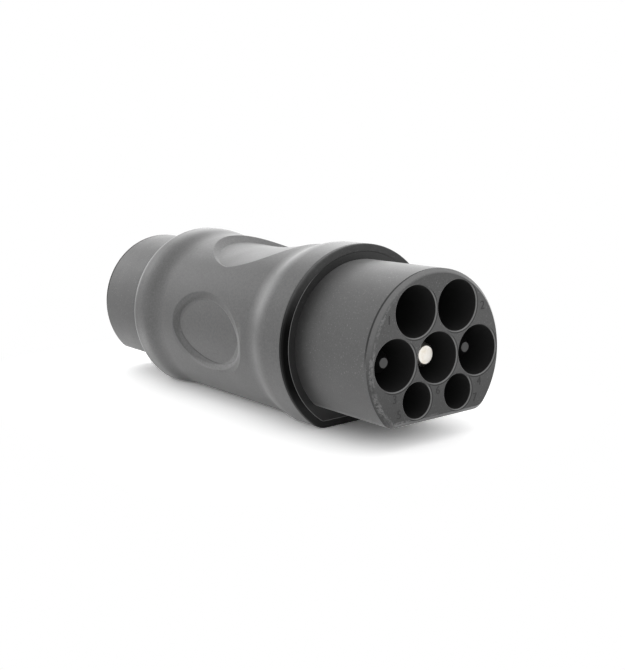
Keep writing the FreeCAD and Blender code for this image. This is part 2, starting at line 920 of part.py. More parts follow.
def sweep_lead(doc, label, kind, start, draw, reach):
    """A round lead along the sketched path, with a bare wire end in each crimp barrel."""
    body = new_body(doc, label)
    path = new_sketch(body, label + "_path", "XZ_Plane")
    count = draw(path)
    section = new_sketch(body, label + "_section", "YZ_Plane", start)
    draw_circle(section, size(kind + "_lead_radius"))
    doc.recompute()
    sleeve = feature(body, "AdditivePipe", label + "_sleeve", section)
    sleeve.Spine = (path, ["Edge%d" % number for number in range(1, count + 1)])
    for number, (along, height, length, back) in enumerate(reach, start=1):
        wire = new_sketch(body, "%s_wire_%d" % (label, number), "YZ_Plane", along)
        draw_circle(wire, size(kind + "_wire_radius"), 0.0, height)
        pad(body, "%s_end_%d" % (label, number), wire, length, reverse=back)
    return body


def make_through_lead(doc, label, line, kind):
    """A lead from a front contact to the rear contact on the same line."""
    side, height = contact_places()[line]
    start = nose_seat(FRONT) + crimp_back(kind)
    stop = nose_seat(REAR) - crimp_back(kind)
    straight, rise = size("lead_straight"), size(kind + "_lead_rise")
    bare = size("crimp_depth")
    ends = [(start, 0.0, bare, False), (stop, 0.0, bare, True)]
    body = sweep_lead(
        doc, label, kind, start, lambda path: draw_bow(path, start, stop, straight, rise), ends
    )
    place(body, side=side, height=height)
    return body


def terminal_centre():
    """Distance of a terminal's middle from the board's middle, along X."""
    return size("board_length") / 2 - size("terminal_inset")


def board_width():
    """The board reaches a margin past its terminals, which stand under the proximity contacts."""
    return power_pitch() + size("terminal_size") + size("board_side_margin") * 2


def board_height():
    """Height of the board's underside, low in the barrel's bore."""
    return -(leg(barrel_bore(), board_width() / 2) - size("board_drop_margin"))


def board_top():
    """Height of the board's upper side."""
    return board_height() + size("board_thickness")


def make_coding_lead(doc, label, end):
    """A lead from a proximity contact down to its terminal on the board."""
    side, height = contact_places()["proximity"]
    kind = "signal"
    seat = nose_seat(end) if end == FRONT else -nose_seat(end)
    start = seat + crimp_back(kind)
    stop = terminal_centre() + size("terminal_size") / 2
    drop = height - board_top() - size("terminal_height") / 2
    straight = size("lead_straight") / 4
    ends = [(start, 0.0, size("crimp_depth"), False)]
    body = sweep_lead(
        doc, label, kind, start, lambda path: draw_step(path, start, stop, straight, drop), ends
    )
    place(body, side=side, height=height, end=end)
    return body


def block(doc, label, along, side, bottom, length, width, height):
    """A plain block centred on (along, side), standing on bottom."""
    item = doc.addObject("Part::Box", label)
    bind(item, "Length", length)
    bind(item, "Width", width)
    bind(item, "Height", height)
    place(item, as_size(along) - length / 2, as_size(side) - width / 2, bottom)
    return item


def make_board(doc):
    board = block(
        doc,
        "coding_board",
        0.0,
        0.0,
        board_height(),
        size("board_length"),
        board_width(),
        size("board_thickness"),
    )
    board.Label = "coding_board"
    return board


def make_resistors(doc):
    """Two flat resistors side by side in the middle of the board."""
    length, width, height = [size("resistor_" + name) for name in ("length", "width", "height")]
    offset = (size("resistor_gap") + length) / 2
    items = []
    for number, along in enumerate((-offset, offset), start=1):
        name = "coding_resistor_%d" % number
        items.append(block(doc, name, along, 0.0, board_top(), length, width, height))
    group = doc.addObject("Part::Compound", "coding_resistors")
    group.Label = "coding_resistors"
    group.Links = items
    return group


def make_terminals(doc):
    """The two blocks on the board where the coding leads end."""
    across, height = size("terminal_size"), size("terminal_height")
    items = []
    for number, along in enumerate((-terminal_centre(), terminal_centre()), start=1):
        name = "coding_terminal_%d" % number
        side = power_pitch() / 2
        items.append(block(doc, name, along, side, board_top(), across, across, height))
    group = doc.addObject("Part::Compound", "coding_terminals")
    group.Label = "coding_terminals"
    group.Links = items
    return group


# Thumb dimple and oval recess


def make_dimple_tool(doc):
    """The space of the thumb dimple: above a saddle-shaped floor and inside an upturned oval cone."""
    saddle = new_body(doc, "dimple_saddle")
    low = size("dimple_low")
    section = new_sketch(saddle, "dimple_section", "YZ_Plane", low)
    floor, crown = dimple_floor(), size("dimple_crown")
    wide = size("dimple_half_width") + size("cut_past")
    top = waist_radius() + size("cut_past")
    half = math.asin(wide.value / crown.value)
    edge = (floor - crown).value + math.sqrt(crown.value ** 2 - wide.value ** 2)
    crest = add_arc(section, 0.0, floor - crown, crown, QUARTER - half, QUARTER + half)
    left = add_line(section, -wide, edge, -wide, top)
    lid = add_line(section, -wide, top, wide, top)
    right = add_line(section, wide, top, wide, edge)
    rules = [
        ("Coincident", crest, 2, left, 1),
        ("Coincident", left, 2, lid, 1),
        ("Coincident", lid, 2, right, 1),
        ("Coincident", right, 2, crest, 1),
        ("Vertical", left),
        ("Vertical", right),
        ("Radius", crest, crown),
    ]
    rules += pin_rules(crest, 3, 0.0, floor - crown)
    rules += pin_rules(left, 2, -wide, top)
    rules += pin_rules(lid, 2, wide, top)
    apply_rules(section, rules)
    pivot = new_sketch(saddle, "dimple_pivot", "YZ_Plane", low)
    height = floor + size("dimple_sweep")
    axle = add_line(pivot, 0.0, height, wide, height)
    apply_rules(pivot, pin_rules(axle, 1, 0.0, height) + pin_rules(axle, 2, wide, height))
    doc.recompute()
    sweep = feature(saddle, "Revolution", "dimple_sweep", section)
    sweep.ReferenceAxis = (pivot, ["Edge1"])
    bind(sweep, "Angle", size("dimple_sweep_angle"))
    sweep.Midplane = True
    place(saddle)
    outline = new_body(doc, "dimple_outline")
    ovals = []
    for name, height in (("low", waist_radius() - size("dimple_cone_depth")), ("high", top)):
        rise = height - (waist_radius() - size("dimple_apex_depth"))
        oval = new_sketch(outline, "dimple_%s_oval" % name, "XY_Plane", height)
        half_length, half_width = rise * size("dimple_length_slope"), rise * size("dimple_width_slope")
        draw_oval(oval, size("dimple_centre"), half_length, half_width)
        ovals.append(oval)
    doc.recompute()
    cone = feature(outline, "AdditiveLoft", "dimple_cone", ovals[0])
    cone.Sections = ovals[1:]
    cone.Ruled = True
    place(outline)
    return both(doc, "Common", "dimple_space", saddle, outline)


def both(doc, kind, name, base, tool):
    """A boolean of two objects."""
    item = doc.addObject("Part::%s" % kind, name)
    item.Base = base
    item.Tool = tool
    return item


def draw_oval(sketch, x, half_length, half_width, dip=None):
    """A full ellipse centred at (x, 0); with a dip, its +x end is turned down by that many degrees.

    A half width above the half length makes it wider than long.
    """
    centre = spot(x, 0.0)
    turn = -math.radians(dip.value) if dip else 0.0
    along = V(math.cos(turn), math.sin(turn), 0) * half_length.value
    across = V(-math.sin(turn), math.cos(turn), 0) * half_width.value
    wide = half_width.value > half_length.value
    ends = (centre + across, centre - along) if wide else (centre + along, centre + across)
    oval = sketch.addGeometry(Part.Ellipse(ends[0], ends[1], centre), False)
    sketch.exposeInternalGeometry(oval)
    major, minor = oval + 1, oval + 2
    if wide:
        half_length, half_width = half_width, half_length
    rules = [("Distance", major, half_length * 2), ("Distance", minor, half_width * 2)]
    rules += pin_rules(oval, 3, x, 0.0)
    if dip:
        rules.append(("Angle", major, 1, -1, 1, dip))
    else:
        rules.append(("Vertical" if wide else "Horizontal", major))
    apply_rules(sketch, rules)


def make_oval_tool(doc):
    """The space of the oval recess: an upright oval prism outside the recess's rounded floor."""
    prism = new_body(doc, "oval_prism")
    reach = waist_radius() + size("cut_past")
    face = new_sketch(prism, "oval_face", "XZ_Plane", reach)
    half_length, half_height = size("oval_half_length"), size("oval_half_height")
    draw_oval(face, size("oval_centre"), half_length, half_height, size("oval_tilt"))
    pad(prism, "oval_pad", face, reach - barrel_radius(), reverse=True)
    place(prism)
    core = new_body(doc, "oval_core")
    section = new_sketch(core, "oval_core_section", "YZ_Plane")
    draw_circle(section, waist_radius() - size("oval_depth"))
    pad(core, "oval_core_pad", section, size("overall_length"), both_ways=True)
    place(core)
    return both(doc, "Cut", "oval_space", prism, core)


def make_shell(doc):
    """The finished grip shell, with a bevel round its oval recess."""
    dimpled = both(doc, "Cut", "shell_dimpled", make_shell_blank(doc), make_dimple_tool(doc))
    recessed = both(doc, "Cut", "shell_recessed", dimpled, make_oval_tool(doc))
    doc.recompute()
    shell = new_body(doc, "outer_shell")
    shell.BaseFeature = recessed
    waist, axis = waist_radius().value, axis_height().value
    middle, reach, rise = [size("oval_" + name).value for name in ("centre", "half_length", "half_height")]

    def on_rim(edge):
        points = edge.discretize(9)
        near = all(p.y < 0 and abs(p.x - middle) < reach + 1 and abs(p.z - axis) < rise + 1 for p in points)
        return near and all(abs(math.hypot(p.y, p.z - axis) - waist) < 0.01 for p in points)

    dress(shell, "Chamfer", "oval_bevel", on_rim, size("oval_bevel_width"))
    bevel = shell.Tip
    bevel.ChamferType = "Two distances"
    bind(bevel, "Size2", size("oval_bevel_depth"))
    return shell


def make_contacts(doc, prefix, end):
    """The five contacts of one nose and the insulating tips of its two outer power contacts."""
    proximity = "pp" if end == FRONT else "cc"
    nodes = [make_contact(doc, prefix + "_pe_pin", end, "pe", "power", "bare")]
    for line in ("l1", "n"):
        nodes.append(make_contact(doc, "%s_%s_pin" % (prefix, line), end, line, "power", "capped"))
        nodes.append(make_cap(doc, "%s_%s_tip" % (prefix, line), end, line))
    nodes.append(make_contact(doc, prefix + "_cp_pin", end, "cp", "signal", "plain"))
    nodes.append(make_contact(doc, "%s_%s_pin" % (prefix, proximity), end, "proximity", "signal", "plain"))
    return nodes


def make_end(doc, prefix, end):
    """One nose with everything that is fixed to it."""
    nodes = [
        make_nose(doc, prefix + "_nose", end),
        make_seal(doc, prefix + "_seal", end),
        make_retainer(doc, prefix + "_retainer", end),
        make_screws(doc, prefix + "_retainer_screws", end),
    ]
    return nodes + make_contacts(doc, prefix, end)


def make_leads(doc):
    nodes = [make_through_lead(doc, line + "_lead", line, "power") for line in ("pe", "l1", "n")]
    nodes.append(make_through_lead(doc, "cp_lead", "cp", "signal"))
    nodes.append(make_coding_lead(doc, "pp_lead", FRONT))
    nodes.append(make_coding_lead(doc, "cc_lead", REAR))
    return nodes


def check(doc, nodes):
    """Stops the build if any object failed or any piece has no sound solid."""
    for item in doc.Objects:
        if "Invalid" in item.State or "Error" in item.State:
            raise RuntimeError("%s failed: %s" % (item.Label, item.State))
    for node in nodes:
        shape = node.Shape
        if shape.isNull() or not shape.isValid() or not shape.Solids:
            raise RuntimeError("%s has no valid solid" % node.Label)


def main():
    doc = FreeCAD.newDocument("charging_adapter")
    fill_sheet(doc)
    nodes = [make_shell(doc), make_ring(doc), make_barrel(doc)]
    nodes += make_end(doc, "front", FRONT) + make_end(doc, "rear", REAR)
    nodes += make_leads(doc)
    nodes += [make_board(doc), make_resistors(doc), make_terminals(doc)]
    doc.recompute()
    check(doc, nodes)
    os.makedirs("parts", exist_ok=True)
    for node in nodes:
        node.Shape.exportStep("parts/%s.step" % node.Label)
        print("%-24s %d solids, %.1f mm3" % (node.Label, len(node.Shape.Solids), node.Shape.Volume))


main()
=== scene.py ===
import logging
import math
from dataclasses import dataclass, field, replace
from enum import Enum
from functools import reduce
from typing import Any, Iterable, Mapping, Optional, Sequence, Union

import bmesh
import bpy
from mathutils import Matrix, Vector


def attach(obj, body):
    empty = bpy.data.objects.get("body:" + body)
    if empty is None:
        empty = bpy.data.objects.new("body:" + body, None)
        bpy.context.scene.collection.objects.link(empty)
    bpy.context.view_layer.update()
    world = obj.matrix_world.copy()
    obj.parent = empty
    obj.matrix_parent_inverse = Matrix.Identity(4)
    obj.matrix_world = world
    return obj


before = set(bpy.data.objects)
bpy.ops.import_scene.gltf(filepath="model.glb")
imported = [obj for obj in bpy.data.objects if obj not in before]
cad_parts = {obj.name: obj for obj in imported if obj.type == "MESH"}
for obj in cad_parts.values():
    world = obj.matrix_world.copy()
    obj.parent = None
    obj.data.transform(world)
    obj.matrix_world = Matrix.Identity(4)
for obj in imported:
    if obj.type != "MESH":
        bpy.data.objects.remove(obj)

# A colour is linear. A span is where a ramp starts and where it ends. A band is its middle, the half
# of its width and the width of its soft edge.
Colour = tuple[float, float, float]
Span = tuple[float, float]
Band = tuple[float, float, float]

LOG = logging.getLogger("charging_adapter")
NO_SETTINGS: Mapping[str, Any] = {}
WHITE: Colour = (1.0, 1.0, 1.0)
MM = 0.001
QUARTER_TURN = math.radians(90)

# The height of the adapter's axis over the ground, and how far the noses' faces lie from its middle.
AXIS_MM = 22.0
FACE_MM = 70.25


def grey(level: float) -> Colour:
    """Turns a display grey into a neutral linear colour, by the usual curve of displays.

    Args:
        level: the grey, from 0 to 255.

    Returns:
        The same grey as linear red, green and blue.
    """
    share = level / 255.0
    linear = share / 12.92 if share <= 0.04045 else ((share + 0.055) / 1.055) ** 2.4
    return (linear, linear, linear)


class Link:
    """A shader value that takes Python's operators and adds a Math node for each."""

    def __init__(self, graph: "Graph", socket: Optional[bpy.types.NodeSocket]) -> None:
        """Keeps the node tree and the output socket that gives the value."""
        self.graph = graph
        self.socket = socket

    def __add__(self, other: "Value") -> "Link":
        """Sum."""
        return self.graph.maths("ADD", self, other)

    def __sub__(self, other: "Value") -> "Link":
        """Difference."""
        return self.graph.maths("SUBTRACT", self, other)

    def __rsub__(self, other: "Value") -> "Link":
        """Difference, with the number first."""
        return self.graph.maths("SUBTRACT", other, self)

    def __mul__(self, other: "Value") -> "Link":
        """Product."""
        return self.graph.maths("MULTIPLY", self, other)

    def __neg__(self) -> "Link":
        """The value with its sign turned."""
        return self.graph.maths("MULTIPLY", self, -1.0)

    def __abs__(self) -> "Link":
        """Size without sign."""
        return self.graph.maths("ABSOLUTE", self)

    def least(self, other: "Value") -> "Link":
        """The smaller of the two."""
        return self.graph.maths("MINIMUM", self, other)

    def most(self, other: "Value") -> "Link":
        """The larger of the two."""
        return self.graph.maths("MAXIMUM", self, other)

    def other(self, name: str) -> "Link":
        """Another output of the node that gives this value."""
        return Link(self.graph, self.socket.node.outputs[name])

    __radd__ = __add__
    __rmul__ = __mul__


Value = Union[Link, float]


class Graph:
    """The node tree of a material or of the world, with one way to add a node."""

    def __init__(self, owner: Union[bpy.types.Material, bpy.types.World]) -> None:
        """Empties the owner's tree.

        Args:
            owner: the material or the world that gets the nodes.
        """
        self.owner = owner
        owner.use_nodes = True
        self.tree = owner.node_tree
        self.tree.nodes.clear()

    def add(
        self,
        kind: str,
        settings: Mapping[str, Any] = NO_SETTINGS,
        inputs: Mapping[Union[str, int], Any] = NO_SETTINGS,
        output: Union[str, int] = 0,
    ) -> Link:
        """Adds a node.

        Args:
            kind: the node's type.
            settings: its settings, which are set before its sockets.
            inputs: a value or a link for each socket that is used.
            output: the socket that is returned.

        Returns:
            The chosen output, or an empty link for a node with none.
        """
        node = self.tree.nodes.new(kind)
        for name, value in settings.items():
            setattr(node, name, value)
        for name, value in inputs.items():
            socket = node.inputs[name]
            if isinstance(value, Link):
                self.tree.links.new(value.socket, socket)
            else:
                socket.default_value = value
        return Link(self, node.outputs[output] if len(node.outputs) else None)

    def maths(self, operation: str, first: Value, second: Value = 0.0) -> Link:
        """Adds one Math node on one or two values."""
        return self.add("ShaderNodeMath", {"operation": operation}, {0: first, 1: second})

    def point(self) -> Link:
        """The place on the piece, in millimetres of the adapter's frame."""
        return self.brighten(self.add("ShaderNodeTexCoord", output="Object"), 1 / MM)

    def apart(self, place: Link) -> tuple[Link, Link, Link]:
        """The three coordinates of a place."""
        along = self.add("ShaderNodeSeparateXYZ", inputs={0: place}, output="X")
        return along, along.other("Y"), along.other("Z")

    def length(self, first: Link, second: Link) -> Link:
        """The length of a line that runs this far in each of two directions."""
        return self.maths("SQRT", first * first + second * second)

    def wave(self, value: Link, pitch: float) -> Link:
        """A sine wave from -1 to 1 with a pitch."""
        return self.maths("SINE", value * (2 * math.pi / pitch))

    def noise(self, point: Link, size: float, detail: float = 2.0, rough: float = 0.5) -> Link:
        """Soft noise from 0 to 1 in blotches of a size, with so many finer layers of such a strength."""
        values = {"Vector": point, "Scale": 1 / size, "Detail": detail, "Roughness": rough}
        return self.add("ShaderNodeTexNoise", {"noise_dimensions": "3D"}, values, "Fac")

    def ramp(self, value: Value, low: float, high: float, start: float = 0.0, stop: float = 1.0) -> Link:
        """Maps one range to another, smoothly and held at both ends.

        Args:
            value: the value that is mapped.
            low: where the result is start.
            high: where the result is stop.
            start: the result at low and before it.
            stop: the result at high and past it.

        Returns:
            The mapped value.
        """
        settings = {"interpolation_type": "SMOOTHSTEP", "clamp": True}
        places = {"Value": value, "From Min": low, "From Max": high, "To Min": start, "To Max": stop}
        return self.add("ShaderNodeMapRange", settings, places, "Result")

    def band(self, value: Link, middle: float, half: float, soft: float) -> Link:
        """1 within half of the middle value, and 0 beyond half plus soft."""
        return self.ramp(abs(value - middle), half, half + soft, 1.0, 0.0)

    def blend(self, share: Link, first: Union[Link, Colour], second: Union[Link, Colour]) -> Link:
        """Mixes two colours, through the Mix node's colour sockets, which go by number."""
        ends = [end if isinstance(end, Link) else (*end, 1.0) for end in (first, second)]
        return self.add("ShaderNodeMix", {"data_type": "RGBA"}, {0: share, 6: ends[0], 7: ends[1]}, 2)

    def brighten(self, colour: Union[Link, Colour], factor: Value) -> Link:
        """Scales a colour or a place."""
        return self.add("ShaderNodeVectorMath", {"operation": "SCALE"}, {0: colour, "Scale": factor})

    def bump(self, height: Link, depth_mm: float, under: Optional[Link] = None) -> Link:
        """A bumped normal from a height of 0 to 1.

        Args:
            height: the height over the surface.
            depth_mm: the height's full size.
            under: a normal that this one lies on.

        Returns:
            The normal.
        """
        values: dict[Union[str, int], Any] = {"Height": height, "Strength": 1.0, "Distance": depth_mm * MM}
        if under is not None:
            values["Normal"] = under
        return self.add("ShaderNodeBump", inputs=values, output="Normal")

    def soften(self, radius_mm: float, samples: int = 8) -> Link:
        """The normal with every sharp edge rounded by a radius."""
        return self.add("ShaderNodeBevel", {"samples": samples}, {"Radius": radius_mm * MM})

    def edges(self, radius_mm: float, blunt: float = 0.998, sharp: float = 0.96) -> Link:
        """Finds sharp edges.

        Args:
            radius_mm: how far an edge reaches.
            blunt: the likeness of plain and softened normal from which there is no edge.
            sharp: the likeness at which there is a full edge.

        Returns:
            1 on sharp edges, fading out over the radius.
        """
        plain = self.add("ShaderNodeNewGeometry", output="Normal")
        settings = {"operation": "DOT_PRODUCT"}
        alike = self.add("ShaderNodeVectorMath", settings, {0: plain, 1: self.soften(radius_mm)}, "Value")
        return self.ramp(alike, blunt, sharp)

    def plainly_seen(self) -> Link:
        """1 for what the camera sees, by itself or in a reflection or through glass."""
        seen = self.add("ShaderNodeLightPath", output="Is Camera Ray")
        return seen.most(seen.other("Is Glossy Ray")).most(seen.other("Is Transmission Ray"))

    def surface(self, shader: Link) -> bpy.types.Material:
        """Ends a material's tree with this shader and returns the material."""
        self.add("ShaderNodeOutputMaterial", inputs={"Surface": shader})
        return self.owner


# Finishes: sizes are in millimetres, and colours are linear.


@dataclass(frozen=True)
class Finish:
    """A surface with a material of its own."""

    name: str

    def build(self) -> bpy.types.Material:
        """Makes the material."""
        raise NotImplementedError

    def material(self) -> bpy.types.Material:
        """The finish's material, which is made once."""
        return bpy.data.materials.get(self.name) or self.build()


@dataclass(frozen=True)
class Moulded(Finish):
    """Moulded plastic or rubber with a fine grain, mottling, speckles and pale flecks."""

    colour: Colour
    roughness: float = 0.5
    roughness_spread: float = 0.08
    mottle: float = 0.06
    mottle_mm: float = 16.0
    handled: float = 0.6
    fleck: float = 0.25
    fleck_mm: float = 0.55
    fleck_levels: Span = (0.62, 0.78)
    speckle: float = 0.12
    speckle_mm: float = 0.45
    grain_mm: float = 0.22
    grain_depth_mm: float = 0.012
    shine: float = 0.5
    sheen: float = 0.0
    sheen_roughness: float = 0.3
    soft_mm: float = 0.0

    def tone(self, graph: Graph, point: Link) -> Link:
        """Gives the colour its mottling, speckles and flecks.

        Args:
            graph: the material's tree.
            point: the place on the piece.

        Returns:
            The uneven colour.
        """
        cloud = graph.noise(point, self.mottle_mm, detail=4.0, rough=0.6) - 0.5
        speckle = graph.noise(point, self.speckle_mm, detail=2.0, rough=0.7) - 0.5
        fleck = graph.ramp(graph.noise(point, self.fleck_mm, detail=1.0), *self.fleck_levels)
        light = 1.0 + cloud * (2.0 * self.mottle) + speckle * (2.0 * self.speckle) + fleck * self.fleck
        return graph.brighten(self.colour, light)

    def gloss(self, graph: Graph, point: Link) -> Link:
        """The roughness, a little uneven where hands have been."""
        patch = graph.noise(point, self.mottle_mm * self.handled, detail=3.0, rough=0.6) - 0.5
        return self.roughness + patch * (2.0 * self.roughness_spread)

    def grain(self, graph: Graph, point: Link) -> Link:
        """The normal with the mould's grain, over softened edges where the finish has them."""
        soft = graph.soften(self.soft_mm) if self.soft_mm else None
        return graph.bump(graph.noise(point, self.grain_mm, rough=0.55), self.grain_depth_mm, soft)

    def shader(self, graph: Graph, colour: Link, gloss: Link, normal: Link) -> Link:
        """Makes the plastic's shader.

        Args:
            graph: the material's tree.
            colour: the colour over the surface.
            gloss: the roughness over the surface.
            normal: the bumped normal.

        Returns:
            The shader.
        """
        sockets = {
            "Base Color": colour,
            "Roughness": gloss,
            "Specular IOR Level": self.shine,
            "Sheen Weight": self.sheen,
            "Sheen Roughness": self.sheen_roughness,
            "Normal": normal,
        }
        return graph.add("ShaderNodeBsdfPrincipled", inputs=sockets)

    def build(self) -> bpy.types.Material:
        """Makes the material.

        Returns:
            The material.
        """
        graph = Graph(bpy.data.materials.new(self.name))
        point = graph.point()
        parts = self.tone(graph, point), self.gloss(graph, point), self.grain(graph, point)
        return graph.surface(self.shader(graph, *parts))


@dataclass(frozen=True)
class DustyPlastic(Moulded):
    """Black plastic, paler in patches towards its top and paler at its lowest: painted light from above, and
    painted light thrown back by the table.

    Heights are over the ground.
    """

    # Painted light: paler towards the top, where more light falls, and at the lowest part, where the table
    # throws light back.
    dust: float = 23.0
    dust_heights: Span = (27.0, 46.0)
    dust_patch: float = 0.4
    dust_patch_mm: float = 1.5
    table_dust: float = 7.0
    table_heights: Span = (14.0, 3.0)

    def tone(self, graph: Graph, point: Link) -> Link:
        """Adds painted light to the black, in patches.

        Args:
            graph: the material's tree.
            point: the place on the piece.

        Returns:
            The colour, with painted light towards the top and the table.
        """
        height = graph.apart(point)[2]
        patch = graph.noise(point, self.dust_patch_mm, detail=4.0) * self.dust_patch
        # Painted light from above, in patches, and painted light from the table below.
        top_lit = graph.ramp(height, *self.dust_heights) * (patch + (1.0 - self.dust_patch / 2))
        bounce_lit = graph.ramp(height, *self.table_heights)
        dust = top_lit * self.dust + bounce_lit * self.table_dust
        return graph.brighten(super().tone(graph, point), 1.0 + dust)


@dataclass(frozen=True)
class GripRubber(Moulded):
    """The soft grip: smoother where hands polish its crests, with paler sharp edges, partly abraded and
    partly painted highlight, painted highlights on the oval's bevel, the dimple and the rear crest, painted
    shade on the oval's upper bevel, and painted light towards its underside.

    Heights are over the adapter's axis, and places along it are from the adapter's middle.
    """

    crest_radii: Span = (24.6, 26.0)
    polish: float = 0.06
    oval_centre_mm: float = -0.3
    oval_half_length_mm: float = 17.6
    oval_half_height_mm: float = 10.4
    oval_tilt: float = 7.0
    oval_side: Span = (-12.0, -14.0)
    oval_ring: Band = (1.0, 0.06, 0.05)
    # Painted highlight on the lower and front side of the oval's bevel, and painted shade on its upper and
    # rear side.
    rub: float = 0.8
    rub_slant: float = 0.6
    rub_levels: Span = (0.0, 1.0)
    soil: float = 0.25
    soil_slant: float = 0.4
    soil_levels: Span = (0.1, 0.9)
    # Sharp edges are paler: partly abraded edges, partly a painted highlight where edges catch the light,
    # with little of it on the rear rim.
    wear: float = 0.45
    wear_reach: float = 0.8
    wear_places: Span = (-43.0, -40.0)
    rear_wear: float = 0.1
    # Painted light towards the underside, standing in for light thrown back by the table.
    low: float = 0.16
    low_heights: Span = (-4.0, -18.0)
    # Painted highlight at the rear of the dimple on top.
    thumb: float = 0.5
    thumb_places: Band = (-14.0, 6.0, 6.0)
    thumb_heights: Span = (18.0, 20.5)
    # Painted highlight on the lower side of the rear crest.
    heel: float = 0.6
    heel_places: Band = (-37.2, 1.0, 3.0)
    heel_heights: Span = (4.0, -8.0)

    def bevel(self, graph: Graph, along: Link, side: Link, rise: Link) -> Link:
        """Works out the painted highlight and painted shade on the bevel of the oval recess.

        Args:
            graph: the material's tree.
            along: the place along the axis.
            side: the place along Y.
            rise: the height over the axis.

        Returns:
            What the bevel adds to the brightness: a painted highlight on its lower and front side, painted
                shade opposite.
        """
        run = along - self.oval_centre_mm
        cosine, sine = math.cos(math.radians(self.oval_tilt)), math.sin(math.radians(self.oval_tilt))
        across = (run * cosine + rise * sine) * (1 / self.oval_half_length_mm)
        up = (rise * cosine - run * sine) * (1 / self.oval_half_height_mm)
        ring = graph.band(graph.length(across, up), *self.oval_ring)
        # A painted highlight on the bevel's lower and front side, painted shade on its upper and rear side.
        rubbed = graph.ramp(across * self.rub_slant - up, *self.rub_levels) * self.rub
        bevel_shaded = graph.ramp(up * self.soil_slant - across, *self.soil_levels) * self.soil
        return ring * graph.ramp(side, *self.oval_side) * (rubbed - bevel_shaded)

    def tone(self, graph: Graph, point: Link) -> Link:
        """Paints light and shade on the rubber: highlights on the sharp edges, which are partly abraded, on
        the oval's bevel, the dimple and the rear crest, shade on the oval's upper bevel, and light towards
        the underside.

        Args:
            graph: the material's tree.
            point: the place on the piece.

        Returns:
            The colour with its painted light and shade and its abraded edges.
        """
        along, side, height = graph.apart(point)
        rise = height - AXIS_MM
        edges = graph.edges(self.soft_mm * self.wear_reach)
        # Paler edges: partly abraded, partly painted highlight.
        worn = edges * graph.ramp(along, *self.wear_places, self.rear_wear, 1.0)
        # Painted light towards the underside.
        low = graph.ramp(rise, *self.low_heights)
        # Painted highlight on the dimple.
        thumb = graph.band(along, *self.thumb_places) * graph.ramp(rise, *self.thumb_heights)
        # Painted highlight on the lower side of the rear crest.
        heel = graph.band(along, *self.heel_places) * graph.ramp(rise, *self.heel_heights)
        light = 1.0 + self.bevel(graph, along, side, rise) + worn * self.wear + low * self.low
        light = light + thumb * self.thumb + heel * self.heel
        return graph.brighten(super().tone(graph, point), light)

    def gloss(self, graph: Graph, point: Link) -> Link:
        """Makes the raised ends of the shell a little smoother than its waist.

        Args:
            graph: the material's tree.
            point: the place on the piece.

        Returns:
            The roughness.
        """
        side, height = graph.apart(point)[1:]
        crest = graph.ramp(graph.length(side, height - AXIS_MM), *self.crest_radii)
        return super().gloss(graph, point) - crest * self.polish


@dataclass(frozen=True)
class CapPlastic(Moulded):
    """The insulating tips: dark, with a paler flat end that fingers and towers scuff."""

    rubbed_ends: Span = (65.73, 65.81)
    worn: Colour = (0.0, 0.0, 0.0)

    def tone(self, graph: Graph, point: Link) -> Link:
        """The dark colour, with the pale one on the flat end."""
        rubbed = graph.ramp(abs(graph.apart(point)[0]), *self.rubbed_ends)
        return graph.blend(rubbed, super().tone(graph, point), self.worn)


@dataclass(frozen=True)
class NoseSpot:
    """A place on a nose, for a material.

    point is the place itself, and reach its distance from the adapter's middle along the axis. side,
    rise, radius and turn are its place along Y, its height over the axis, its distance from the axis
    and its angle round it. wall is its distance outside the nearest cavity's wall, and the last two
    fields are 1 on the lines round the cavities' lower right edges, for a painted highlight and a painted
    shadow.
    """

    point: Link
    reach: Link
    side: Link
    rise: Link
    radius: Link
    turn: Link
    wall: Link
    pale_line: Link
    dark_line: Link


